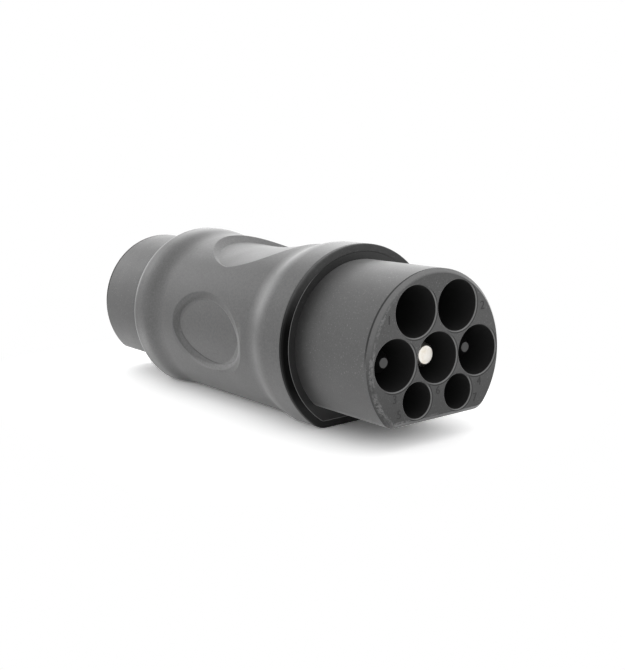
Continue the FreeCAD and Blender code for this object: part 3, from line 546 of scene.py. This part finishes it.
@dataclass(frozen=True)
class NosePlastic(Moulded):
    """The hard noses: grained outside and scuffed on the front edge, with painted shade in the cavities, at
    the root and underneath, and painted highlights and shadow lines round the cavities, the front edge and
    the flange.

    A cavity is its place along Y, its height over the axis and its radius, for one side of the nose.
    Walls are distances outside a cavity's wall, turns are angles round the axis, in radians, and skins
    and places are measured from what they belong to: the face, the shoulder of its bevel, the flange or
    the D outline. line_way is how far sideways and down the middle of a cavity's lines lies from the
    cavity's middle, as shares. patch_run is how fast the patches change across the edge and round it,
    and a shift.
    """

    cavities: Sequence[tuple[float, float, float]] = ()
    # The pale colour is for scuffed patches and for painted highlights.
    worn: Colour = grey(150)
    # The cavities' dark shader is painted shade.
    hollow: Colour = (0.02, 0.02, 0.02)
    hollow_roughness: float = 0.75
    hollow_shine: float = 0.12
    hollow_walls: Span = (0.02, 0.06)
    # A painted highlight and a painted shadow on the lines round the cavities' lower right edges.
    pale_line: float = 0.45
    pale_line_walls: Band = (0.18, 0.08, 0.06)
    dark_line: float = 0.6
    dark_line_walls: Band = (0.50, 0.13, 0.06)
    line_way: tuple[float, float] = (0.8, 0.6)
    line_fade: float = 0.4
    face_radius_mm: float = 21.0
    face_flat_mm: float = 14.7
    face_skin: Span = (-0.5, -0.4)
    edge_mm: float = 1.1
    edge_soft_mm: float = 0.1
    upper_turn: float = 0.5
    upper_levels: Span = (0.3, 0.9)
    upper_walls: Span = (0.6, 0.7)
    # Painted highlight along the upper bevel of the front edge.
    upper_edge: float = 0.3
    # Painted shade on the lower side of the front edge.
    lower_turn: float = 2.2
    lower_levels: Span = (-0.3, 0.5)
    lower_edge: float = 0.35
    # Painted shadow: a thin dark line along the upper side of the front edge.
    groove: float = 0.85
    groove_places: Band = (-0.45, 0.26, 0.14)
    groove_levels: Span = (0.1, 0.8)
    scuff: float = 0.42
    scuff_gloss: float = 0.1
    scuff_turn: float = 1.9
    scuff_levels: Span = (0.1, 0.6)
    scuff_walls: Span = (0.5, 0.7)
    scuff_start_mm: float = 0.2
    patch_run: tuple[float, float, float] = (0.4, 2.6, 3.7)
    patch_levels: Span = (0.46, 0.58)
    patch_places: Band = (0.1, 0.35, 0.5)
    smear_mm: float = 0.9
    smear_levels: Span = (0.40, 0.60)
    chip: float = 0.7
    chip_mm: float = 2.0
    chip_levels: Span = (0.40, 0.62)
    chip_places: Band = (0.0, 0.12, 0.14)
    flange_mm: float = 40.45
    flange_radius_mm: float = 24.2
    flange_flat_mm: float = 20.0
    flange_skin: Span = (-0.3, -0.1)
    rim_places: Band = (-0.08, 0.05, 0.06)
    rim_heights: Span = (15.0, 23.0)
    # Painted highlight on the flange's lower rim, painted shadow on its upper rim.
    rim_pale: float = 0.65
    rim_dark: float = 0.5
    # Painted shade at the nose's root, weaker towards the top.
    root: float = 0.78
    root_places: Span = (0.1, 11.0)
    root_top: float = 0.8
    root_top_places: Span = (0.1, 0.6)
    # Painted shade towards the nose's underside.
    belly: float = 0.45
    belly_heights: Span = (2.0, -14.0)

    @property
    def shoulder(self) -> float:
        """Where the bevel round the face starts, from the adapter's middle."""
        return FACE_MM - self.edge_mm

    def spot(self, graph: Graph) -> NoseSpot:
        """Works out where a place lies on the nose and among its cavities.

        Args:
            graph: the material's tree.

        Returns:
            The place.
        """
        point = graph.point()
        along, side, height = graph.apart(point)
        rise = height - AXIS_MM
        hand = graph.maths("SIGN", side)
        walls, pale, dark = [], [], []
        for across, level, radius in self.cavities:
            run, lift = abs(side) - across, rise - level
            wall = graph.length(run, lift) - radius
            way = run * hand * self.line_way[0] - lift * self.line_way[1]
            turned = graph.ramp(way, 0.0, self.line_fade * radius)
            walls.append(wall)
            # Lines for a painted highlight and a painted shadow round the cavity's lower right edge.
            pale.append(graph.band(wall, *self.pale_line_walls) * turned)
            dark.append(graph.band(wall, *self.dark_line_walls) * turned)
        return NoseSpot(
            point=point,
            reach=abs(along),
            side=side,
            rise=rise,
            radius=graph.length(side, rise),
            turn=graph.maths("ARCTAN2", side, rise),
            wall=reduce(Link.least, walls),
            pale_line=reduce(Link.most, pale),
            dark_line=reduce(Link.most, dark),
        )

    def outside(self, spot: NoseSpot, radius_mm: float, flat_mm: float) -> Link:
        """How far a place lies outside a D outline with this radius and this flat underneath."""
        return (spot.radius - radius_mm).most(-spot.rise - flat_mm)

    def on_face(self, graph: Graph, spot: NoseSpot) -> Link:
        """1 on the flat face."""
        return graph.ramp(spot.reach - FACE_MM, *self.face_skin)

    def edge(self, graph: Graph, spot: NoseSpot) -> Link:
        """1 at the foot of the bevel round the face, fading out towards the face."""
        begun = graph.ramp(spot.reach - self.shoulder, -self.edge_soft_mm, self.edge_soft_mm)
        return begun * graph.ramp(spot.reach - FACE_MM, self.face_skin[0], 0.0, 1.0, 0.0)

    def upper(self, graph: Graph, spot: NoseSpot) -> Link:
        """1 round the upper side of the nose, clear of the cavities."""
        top = graph.ramp(graph.maths("COSINE", spot.turn + self.upper_turn), *self.upper_levels)
        return top * graph.ramp(spot.wall, *self.upper_walls)

    def rubbed(self, graph: Graph, spot: NoseSpot) -> Link:
        """Finds the scuffed patches along the edge of the face, on the side that meets things first.

        Args:
            graph: the material's tree.
            spot: the place on the nose.

        Returns:
            1 where the edge is scuffed bare.
        """
        out = self.outside(spot, self.face_radius_mm, self.face_flat_mm)
        across, round_axis, shift = self.patch_run
        run = {0: out * across, 1: spot.turn * round_axis, 2: shift}
        patch = graph.noise(graph.add("ShaderNodeCombineXYZ", inputs=run), size=1.0)
        smear = graph.noise(spot.point, self.smear_mm, detail=5.0, rough=0.75)
        chip = graph.noise(spot.point, self.chip_mm, detail=4.0, rough=0.7)
        patches = graph.ramp(patch, *self.patch_levels) * graph.ramp(smear, *self.smear_levels)
        patches = patches * graph.band(out, *self.patch_places)
        chips = graph.ramp(chip, *self.chip_levels) * graph.band(out, *self.chip_places) * self.chip
        lower = graph.ramp(graph.maths("COSINE", spot.turn + self.scuff_turn), *self.scuff_levels)
        clear = graph.ramp(spot.wall, *self.scuff_walls)
        ahead = graph.ramp(spot.reach - self.shoulder, -self.scuff_start_mm, 0.0)
        return patches.most(chips) * lower * clear * ahead

    def rim(self, graph: Graph, spot: NoseSpot) -> Link:
        """Finds the flange's front rim.

        Args:
            graph: the material's tree.
            spot: the place on the nose.

        Returns:
            1 on a fine line along the rim.
        """
        out = self.outside(spot, self.flange_radius_mm, self.flange_flat_mm)
        front = graph.ramp(spot.reach - self.flange_mm, *self.flange_skin)
        return graph.band(out, *self.rim_places) * front

    def shade(self, graph: Graph, spot: NoseSpot) -> Link:
        """Paints shade on the nose's root, the lower side of its front edge and its underside.

        Args:
            graph: the material's tree.
            spot: the place on the nose.

        Returns:
            What the colour is multiplied by.
        """
        ahead = spot.reach - self.flange_mm
        # Painted shade at the root, on the lower front edge and towards the underside.
        root = graph.ramp(ahead, *self.root_places, self.root, 0.0)
        above = graph.ramp(spot.rise, *self.rim_heights)
        top = above * self.root_top * graph.ramp(ahead, *self.root_top_places)
        low = graph.ramp(graph.maths("COSINE", spot.turn + self.lower_turn), *self.lower_levels)
        edge = self.edge(graph, spot) * low * self.lower_edge
        belly = graph.ramp(spot.rise, *self.belly_heights, 1.0, 1.0 - self.belly)
        return (1.0 - root * (1.0 - top)) * (1.0 - edge) * belly

    def paled(self, graph: Graph, spot: NoseSpot, rubbed: Link) -> Link:
        """Finds where the pale colour shows: on scuffed patches, and as painted highlights on the lines
        round the cavities, on the flange's lower rim and along the upper bevel.

        Args:
            graph: the material's tree.
            spot: the place on the nose.
            lightened: 1 where the front edge is scuffed bare.

        Returns:
            The share of the pale colour.
        """
        # Scuffs, and painted highlights on lines, rim and upper bevel.
        above = graph.ramp(spot.rise, *self.rim_heights)
        line = spot.pale_line * self.on_face(graph, spot) * self.pale_line
        rim = self.rim(graph, spot) * (1.0 - above) * self.rim_pale
        edge = self.edge(graph, spot) * self.upper(graph, spot) * self.upper_edge
        return (rubbed * self.scuff).most(line).most(rim).most(edge)

    def blackened(self, graph: Graph, spot: NoseSpot) -> Link:
        """Finds where the dark shader paints shade: in the cavities, and on the fine painted shadow lines of
        the face, the front edge and the flange.

        Args:
            graph: the material's tree.
            spot: the place on the nose.

        Returns:
            The share of the dark shader.
        """
        # Painted shade in the cavities.
        inside = graph.ramp(spot.wall, *self.hollow_walls, 1.0, 0.0)
        line = spot.dark_line * self.on_face(graph, spot) * self.dark_line
        # Painted shadow line along the upper front edge.
        groove = graph.band(spot.reach - self.shoulder, *self.groove_places) * self.groove
        groove = groove * graph.ramp(self.upper(graph, spot), *self.groove_levels)
        rim = self.rim(graph, spot) * graph.ramp(spot.rise, *self.rim_heights) * self.rim_dark
        return inside.most(line).most(groove).most(rim)

    def build(self) -> bpy.types.Material:
        """Makes the material, with a dark shader mixed in as painted shade in the cavities and on fine
        shadow lines.

        Returns:
            The material.
        """
        graph = Graph(bpy.data.materials.new(self.name))
        spot = self.spot(graph)
        rubbed = self.rubbed(graph, spot)
        # Painted shade, then the pale colour for scuffs and painted highlights, then the dark shader for
        # painted shade in the cavities and on the shadow lines.
        tone = graph.brighten(self.tone(graph, spot.point), self.shade(graph, spot))
        tone = graph.blend(self.paled(graph, spot, rubbed), tone, self.worn)
        gloss = self.gloss(graph, spot.point) + rubbed * self.scuff_gloss
        body = self.shader(graph, tone, gloss, self.grain(graph, spot.point))
        sockets = {
            "Base Color": (*self.hollow, 1.0),
            "Roughness": self.hollow_roughness,
            "Specular IOR Level": self.hollow_shine,
        }
        dark = graph.add("ShaderNodeBsdfPrincipled", inputs=sockets)
        mixed = {0: self.blackened(graph, spot), 1: body, 2: dark}
        return graph.surface(graph.add("ShaderNodeMixShader", inputs=mixed))


@dataclass(frozen=True)
class TurnedMetal(Finish):
    """Plated metal turned about X, with tool rings and a faint tarnish."""

    colour: Colour
    tarnish: Colour
    tarnish_mm: float = 2.2
    tarnish_levels: Span = (0.45, 0.75)
    roughness: float = 0.24
    roughness_spread: float = 0.12
    ring_mm: float = 0.12
    ring_depth_mm: float = 0.002

    def build(self) -> bpy.types.Material:
        """Makes the material.

        Returns:
            The material.
        """
        graph = Graph(bpy.data.materials.new(self.name))
        point = graph.point()
        rings = graph.wave(graph.apart(point)[0], self.ring_mm) * 0.5 + 0.5
        cloud = graph.noise(point, self.tarnish_mm, detail=4.0, rough=0.6)
        sockets = {
            "Base Color": graph.blend(graph.ramp(cloud, *self.tarnish_levels), self.colour, self.tarnish),
            "Metallic": 1.0,
            "Roughness": self.roughness + cloud * self.roughness_spread,
            "Normal": graph.bump(rings, self.ring_depth_mm),
        }
        return graph.surface(graph.add("ShaderNodeBsdfPrincipled", inputs=sockets))


@dataclass(frozen=True)
class BoardLaminate(Finish):
    """Green circuit board: glass weave under a glossy lacquer."""

    colour: Colour
    light: float = 0.9
    cloud: float = 0.2
    cloud_mm: float = 3.0
    weave: float = 0.1
    weave_mm: float = 0.6
    weave_depth_mm: float = 0.01
    roughness: float = 0.25
    roughness_spread: float = 0.15

    def build(self) -> bpy.types.Material:
        """Makes the material.

        Returns:
            The material.
        """
        graph = Graph(bpy.data.materials.new(self.name))
        point = graph.point()
        along, side, _ = graph.apart(point)
        weave = graph.wave(along, self.weave_mm) * graph.wave(side, self.weave_mm)
        cloud = graph.noise(point, self.cloud_mm, detail=3.0)
        light = self.light + weave * self.weave + cloud * self.cloud
        sockets = {
            "Base Color": graph.brighten(self.colour, light),
            "Roughness": self.roughness + cloud * self.roughness_spread,
            "Normal": graph.bump(weave * 0.5 + 0.5, self.weave_depth_mm),
        }
        return graph.surface(graph.add("ShaderNodeBsdfPrincipled", inputs=sockets))


@dataclass(frozen=True)
class TwoToneSheath(Moulded):
    """Lead insulation with stripes of a second colour along it."""

    stripe: Colour = (0.0, 0.0, 0.0)
    stripe_levels: Span = (-0.1, 0.1)
    pitch_mm: float = 3.6

    def tone(self, graph: Graph, point: Link) -> Link:
        """The colour with its stripes."""
        stripes = graph.ramp(graph.wave(graph.apart(point)[1], self.pitch_mm), *self.stripe_levels)
        return graph.blend(stripes, super().tone(graph, point), self.stripe)


GRIP = GripRubber(
    "grip rubber",
    grey(79),
    roughness=0.40,
    roughness_spread=0.05,
    mottle=0.10,
    mottle_mm=12.0,
    fleck=0.25,
    speckle=0.45,
    speckle_mm=0.6,
    grain_depth_mm=0.006,
    sheen=0.2,
    soft_mm=0.6,
)
RING = DustyPlastic(
    "ring plastic", grey(11), roughness=0.42, roughness_spread=0.04, grain_depth_mm=0.005, shine=0.08
)
NOSE = NosePlastic(
    "nose plastic",
    grey(67),
    roughness=0.43,
    mottle=0.12,
    mottle_mm=9.0,
    fleck=1.3,
    fleck_mm=0.42,
    speckle=0.40,
    grain_depth_mm=0.016,
    sheen=0.4,
    sheen_roughness=0.4,
    cavities=((0.0, 0.0, 6.46), (13.8, 0.0, 6.46), (6.9, 12.3, 6.46), (6.9, -9.78, 4.56)),
)
# A copy of the nose plastic with less sheen, so that the rear nose renders darker: a shaded copy of the same
# plastic.
FAR_NOSE = replace(NOSE, name="far nose plastic", sheen=0.2)
NUMERAL = Moulded("numeral plastic", grey(36), roughness=0.5, grain_depth_mm=0.004)
INNER = Moulded("inner plastic", grey(38), roughness=0.55)
TIP = CapPlastic(
    "tip plastic", grey(16), roughness=0.6, fleck=0.05, grain_depth_mm=0.004, shine=0.1, worn=grey(96)
)
SEAL = Moulded("seal rubber", grey(34), roughness=0.6, grain_depth_mm=0.004)
PLATING = TurnedMetal("silver plating", (0.97, 0.94, 0.88), (0.88, 0.81, 0.70))
ZINC = TurnedMetal("zinc plating", (0.60, 0.60, 0.62), (0.42, 0.42, 0.44), roughness=0.34)
CHIP = Moulded("resistor ceramic", grey(36), roughness=0.5, fleck=0.4, fleck_mm=0.3)
WHITE_SHEATH = Moulded("white sheath", grey(205), roughness=0.45, grain_depth_mm=0.004)
BROWN_SHEATH = replace(WHITE_SHEATH, name="brown sheath", colour=(0.12, 0.045, 0.02))
BLUE_SHEATH = replace(WHITE_SHEATH, name="blue sheath", colour=(0.03, 0.10, 0.38))
EARTH_SHEATH = TwoToneSheath(
    "earth sheath", (0.05, 0.26, 0.04), roughness=0.45, grain_depth_mm=0.004, stripe=(0.72, 0.60, 0.03)
)
BOARD = BoardLaminate("board lacquer", (0.012, 0.11, 0.04))


# Pieces


class End(Enum):
    """The two ends of the adapter, with the sign of X at each."""

    FRONT = 1
    REAR = -1

    @property
    def prefix(self) -> str:
        """The first word of the names of this end's pieces."""
        return self.name.lower()

    @property
    def proximity(self) -> str:
        """The name of this end's proximity contact."""
        return "pp" if self is End.FRONT else "cc"

    @property
    def finish(self) -> NosePlastic:
        """The finish of this end's nose."""
        return NOSE if self is End.FRONT else FAR_NOSE


def new_piece(name: str, mesh: bpy.types.Mesh, finish: Finish) -> bpy.types.Object:
    """Makes an object that rides on the adapter.

    Args:
        name: the piece's name.
        mesh: its mesh, already in place in the adapter's frame.
        finish: its finish.

    Returns:
        The new object.
    """
    piece = bpy.data.objects.new(name, mesh)
    bpy.context.scene.collection.objects.link(piece)
    mesh.materials.clear()
    mesh.materials.append(finish.material())
    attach(piece, "root")
    return piece


class Assembly:
    """A group of pieces that are dressed together."""

    def paint(self, finishes: Mapping[str, Finish]) -> list[str]:
        """Gives CAD nodes their materials.

        Args:
            finishes: a finish for each node's name.

        Returns:
            The names of the nodes.
        """
        for node, finish in finishes.items():
            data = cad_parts[node].data
            data.materials.clear()
            data.materials.append(finish.material())
        return list(finishes)

    def build(self) -> list[str]:
        """Builds and dresses the group, and returns the names of its pieces."""
        raise NotImplementedError


@dataclass
class Grip(Assembly):
    """The grip shell with the ring at its front."""

    def build(self) -> list[str]:
        """Dresses the shell and the ring, and returns their names."""
        return self.paint({"outer_shell": GRIP, "front_trim_ring": RING})


@dataclass
class Numerals:
    """Plain raised numbers beside the cavities of a nose, in millimetres.

    A place is along Y and over the ground, on the front nose. On the rear nose its side changes, so that
    both faces read alike.
    """

    end: End
    slot: str = "nose_grey"
    height: float = 3.1
    relief: float = 0.05
    sunk: float = 0.05
    merged: float = 0.001
    curve_steps: int = 4
    places: dict[str, tuple[float, float]] = field(
        default_factory=lambda: {
            "1": (-15.6, 33.2),
            "2": (15.6, 33.2),
            "3": (-14.2, 13.6),
            "4": (14.4, 13.6),
            "5": (-12.9, 9.6),
            "6": (0.0, 13.6),
            "7": (12.9, 9.6),
        }
    )

    def figure(self, text: str, side: float, level: float) -> bpy.types.Mesh:
        """Makes one number's mesh in place on the nose's face.

        Args:
            text: the number.
            side: its place along Y.
            level: its height over the ground.

        Returns:
            The mesh.
        """
        curve = bpy.data.curves.new("figure", "FONT")
        curve.body = text
        curve.size = self.height * MM
        curve.extrude = (self.relief + self.sunk) / 2 * MM
        curve.align_x, curve.align_y = "CENTER", "CENTER"
        curve.resolution_u = self.curve_steps
        holder = bpy.data.objects.new("figure", curve)
        bpy.context.scene.collection.objects.link(holder)
        mesh = bpy.data.meshes.new_from_object(holder.evaluated_get(bpy.context.evaluated_depsgraph_get()))
        bpy.data.objects.remove(holder)
        middle = FACE_MM + (self.relief - self.sunk) / 2
        upright = Matrix.Rotation(QUARTER_TURN, 4, "X")
        facing = Matrix.Rotation(QUARTER_TURN * self.end.value, 4, "Z")
        place = Matrix.Translation(Vector((self.end.value * middle, side, level)) * MM)
        mesh.transform(place @ facing @ upright)
        return mesh

    def build(self) -> str:
        """Joins the numbers in one piece.

        Returns:
            The piece's name.
        """
        shape = bmesh.new()
        for text, (side, level) in self.places.items():
            shape.from_mesh(self.figure(text, side * self.end.value, level))
        bmesh.ops.remove_doubles(shape, verts=shape.verts, dist=self.merged * MM)
        bmesh.ops.recalc_face_normals(shape, faces=shape.faces)
        mesh = bpy.data.meshes.new(f"{self.end.prefix}_numerals")
        shape.to_mesh(mesh)
        shape.free()
        return new_piece(mesh.name, mesh, NUMERAL).name


@dataclass
class PlugEnd(Assembly):
    """One nose with its contacts, seal, retainer and screws."""

    end: End

    def build(self) -> list[str]:
        """Dresses the nose and what it holds, and adds its numbers.

        Returns:
            The names of the pieces.
        """
        prefix = self.end.prefix
        finishes: dict[str, Finish] = {
            f"{prefix}_nose": self.end.finish,
            f"{prefix}_seal": SEAL,
            f"{prefix}_retainer": INNER,
            f"{prefix}_retainer_screws": ZINC,
        }
        finishes |= {f"{prefix}_{line}_pin": PLATING for line in ("pe", "l1", "n", "cp", self.end.proximity)}
        finishes |= {f"{prefix}_{line}_tip": TIP for line in ("l1", "n")}
        return self.paint(finishes) + [Numerals(self.end).build()]


@dataclass
class Wiring(Assembly):
    """The barrel, the leads and the coding board inside the grip."""

    def build(self) -> list[str]:
        """Dresses the inner pieces.

        Returns:
            The names of the pieces.
        """
        return self.paint({
            "inner_barrel": INNER,
            "pe_lead": EARTH_SHEATH,
            "l1_lead": BROWN_SHEATH,
            "n_lead": BLUE_SHEATH,
            "cp_lead": WHITE_SHEATH,
            "pp_lead": WHITE_SHEATH,
            "cc_lead": WHITE_SHEATH,
            "coding_board": BOARD,
            "coding_resistors": CHIP,
            "coding_terminals": ZINC,
        })


# Studio: sizes are in metres, and angles in degrees.


@dataclass(frozen=True)
class SoftBox:
    """A square area light that points at a place on the adapter."""

    name: str
    place: tuple[float, float, float]
    target: tuple[float, float, float]
    width: float
    power: float

    def build(self) -> None:
        """Adds the light."""
        light = bpy.data.lights.new(self.name, "AREA")
        light.shape = "SQUARE"
        light.size = self.width
        light.energy = self.power
        holder = bpy.data.objects.new(self.name, light)
        holder.visible_camera = False
        holder.location = self.place
        away = Vector(self.place) - Vector(self.target)
        holder.rotation_mode = "QUATERNION"
        holder.rotation_quaternion = away.to_track_quat("Z", "Y")
        bpy.context.scene.collection.objects.link(holder)


@dataclass
class Studio:
    """A pale table, soft boxes and the camera."""

    rear_level: float = 1.05
    front_level: float = 0.8
    table_radius: float = 4.0
    table_sides: int = 96
    table_tones: tuple[Colour, Colour] = ((0.93, 0.93, 0.93), (0.95, 0.95, 0.95))
    table_grain: float = 0.002
    table_roughness: float = 0.6
    table_shine: float = 0.2
    table_gain: float = 0.48
    shadow_middle: float = -0.0125
    shadow_half: float = 0.0625
    shadow_squeeze: float = 1.8
    shadow_reach: Span = (0.0, 0.078)
    camera_place: tuple[float, float, float] = (0.2557, -0.1750, 0.0770)
    camera_range: tuple[float, float] = (0.01, 20.0)
    azimuth: float = 53.6
    elevation: float = 10.84
    roll: float = -1.6
    lens_mm: float = 56.26
    sensor_mm: float = 36.0
    boxes: Sequence[SoftBox] = (
        SoftBox("top box", (0.0, 0.15, 0.85), (0.0, 0.0, 0.02), 1.2, 2.5),
        SoftBox("back box", (-0.80, 0.60, 0.30), (0.0, 0.0, 0.03), 0.9, 3.0),
        SoftBox("left box", (-1.00, -0.14, 0.30), (0.0, 0.0, 0.03), 0.5, 1.1),
        SoftBox("near box", (-0.50, -1.00, 0.08), (0.0, 0.0, 0.02), 0.5, 0.4),
    )

    def light_world(self) -> None:
        """Sets a soft white surround, stronger from the rear.

        The camera, reflections and glass see it pure white.
        """
        world = bpy.data.worlds.new("studio")
        bpy.context.scene.world = world
        graph = Graph(world)
        ahead = graph.apart(graph.add("ShaderNodeTexCoord", output="Generated"))[0]
        level = graph.ramp(ahead, -1.0, 1.0, self.rear_level, self.front_level)
        level = level + graph.plainly_seen() * (1.0 - level)
        sky = graph.add("ShaderNodeBackground", inputs={"Color": (*WHITE, 1.0), "Strength": level})
        graph.add("ShaderNodeOutputWorld", inputs={"Surface": sky})

    def table_material(self) -> bpy.types.Material:
        """Makes the table's material.

        The camera, reflections and glass see the lit table about half as bright again, and turning pure
        white away from a line under the adapter, so that only its shadow stays below white.

        Returns:
            The material.
        """
        graph = Graph(bpy.data.materials.new("table white"))
        place = graph.add("ShaderNodeTexCoord", output="Object")
        sockets = {
            "Base Color": graph.blend(graph.noise(place, self.table_grain, detail=3.0), *self.table_tones),
            "Roughness": self.table_roughness,
            "Specular IOR Level": self.table_shine,
        }
        lit = graph.add("ShaderNodeBsdfPrincipled", inputs=sockets)
        seen = graph.plainly_seen()
        gain = graph.brighten(WHITE, seen * self.table_gain)
        again = graph.add("ShaderNodeBsdfDiffuse", inputs={"Color": gain})
        lit = graph.add("ShaderNodeAddShader", inputs={0: lit, 1: again})
        glow = graph.add("ShaderNodeEmission", inputs={"Strength": 1.0})
        ahead, side, _ = graph.apart(place)
        past = (abs(ahead - self.shadow_middle) - self.shadow_half).most(0.0) * self.shadow_squeeze
        share = graph.ramp(graph.length(past, side), *self.shadow_reach) * seen
        return graph.surface(graph.add("ShaderNodeMixShader", inputs={0: share, 1: lit, 2: glow}))

    def lay_floor(self) -> None:
        """Makes the table that the adapter lies on."""
        shape = bmesh.new()
        bmesh.ops.create_circle(shape, cap_ends=True, segments=self.table_sides, radius=self.table_radius)
        mesh = bpy.data.meshes.new("table")
        shape.to_mesh(mesh)
        shape.free()
        table = bpy.data.objects.new("table", mesh)
        bpy.context.scene.collection.objects.link(table)
        mesh.materials.append(self.table_material())

    def set_camera(self) -> None:
        """Puts the camera at the fitted place, with its fitted lens and roll."""
        data = bpy.data.cameras.new("camera")
        data.lens = self.lens_mm
        data.sensor_width = self.sensor_mm
        data.clip_start, data.clip_end = self.camera_range
        turn, lift, roll = (math.radians(angle) for angle in (self.azimuth, self.elevation, self.roll))
        back = Vector((math.sin(turn) * math.cos(lift), -math.cos(turn) * math.cos(lift), math.sin(lift)))
        right = (-back).cross(Vector((0.0, 0.0, 1.0))).normalized()
        up = right.cross(-back)
        level = math.cos(roll) * right + math.sin(roll) * up
        raised = math.cos(roll) * up - math.sin(roll) * right
        camera = bpy.data.objects.new("camera", data)
        pose = Matrix((level, raised, back)).transposed().to_4x4()
        camera.matrix_world = Matrix.Translation(self.camera_place) @ pose
        bpy.context.scene.collection.objects.link(camera)
        bpy.context.scene.camera = camera

    def build(self) -> None:
        """Sets the whole stage."""
        bpy.context.scene.view_settings.view_transform = "Standard"
        self.light_world()
        self.lay_floor()
        for box in self.boxes:
            box.build()
        self.set_camera()


def main() -> None:
    """Builds the groups in order and reports each piece."""
    logging.basicConfig(level=logging.INFO, format="%(name)s: %(message)s")
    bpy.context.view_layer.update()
    groups: Sequence[Assembly] = (Grip(), PlugEnd(End.FRONT), PlugEnd(End.REAR), Wiring())
    for group in groups:
        for name in group.build():
            LOG.info("%s: %s", type(group).__name__, name)
    Studio().build()


if __name__ == "__main__":
    main()
